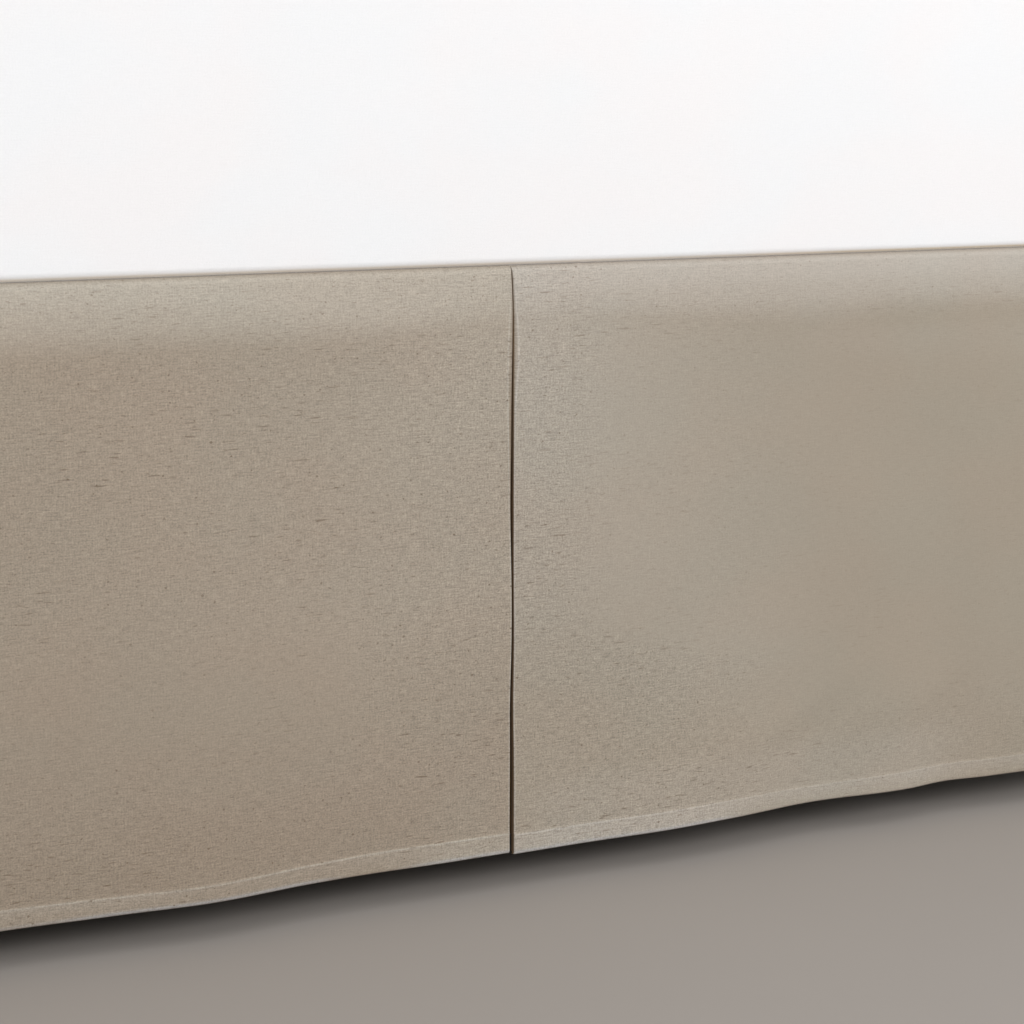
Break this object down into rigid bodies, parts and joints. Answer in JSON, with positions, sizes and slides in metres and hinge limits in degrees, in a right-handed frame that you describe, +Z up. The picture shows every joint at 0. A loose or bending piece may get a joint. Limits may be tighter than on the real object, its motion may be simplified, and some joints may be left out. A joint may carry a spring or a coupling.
{
  "type": "bed skirt on a bed with mattress and box spring",
  "caption": "Tailored linen-look bed skirt with split pleats, hanging over the edge of a box spring under a plain mattress on a steel bed frame.",
  "frame": {"origin": "centre of the bed's footprint, on the floor", "axes": "+X from the foot of the bed to its open head end, -Y towards the side with the camera, +Z up"},
  "size_m": [2.0513, 1.5609, 0.6652],
  "materials": {
    "linen": "matte plain weave with slubs",
    "deck_cotton": "matte plain weave",
    "box_spring_cloth": "matte",
    "mattress_cover": "matte",
    "frame_steel": "satin powder coat",
    "cap_plastic": "matte"
  },
  "bodies": {
    "root": {"front_panel_left": "linen", "front_panel_right": "linen", "front_underlay": "linen", "back_panel_left": "linen", "back_panel_right": "linen", "back_underlay": "linen", "foot_panel_left": "linen", "foot_panel_right": "linen", "foot_underlay": "linen", "deck": "deck_cotton", "box_spring": "box_spring_cloth", "mattress": "mattress_cover", "rail_front": "frame_steel", "rail_back": "frame_steel", "rail_foot": "frame_steel", "rail_head": "frame_steel", "rail_cross_1": "frame_steel", "rail_cross_2": "frame_steel", "leg_front_1": "frame_steel", "leg_front_2": "frame_steel", "leg_front_3": "frame_steel", "leg_back_1": "frame_steel", "leg_back_2": "frame_steel", "leg_back_3": "frame_steel", "cap_front_1": "cap_plastic", "cap_front_2": "cap_plastic", "cap_front_3": "cap_plastic", "cap_back_1": "cap_plastic", "cap_back_2": "cap_plastic", "cap_back_3": "cap_plastic"}
  },
  "joints": []
}
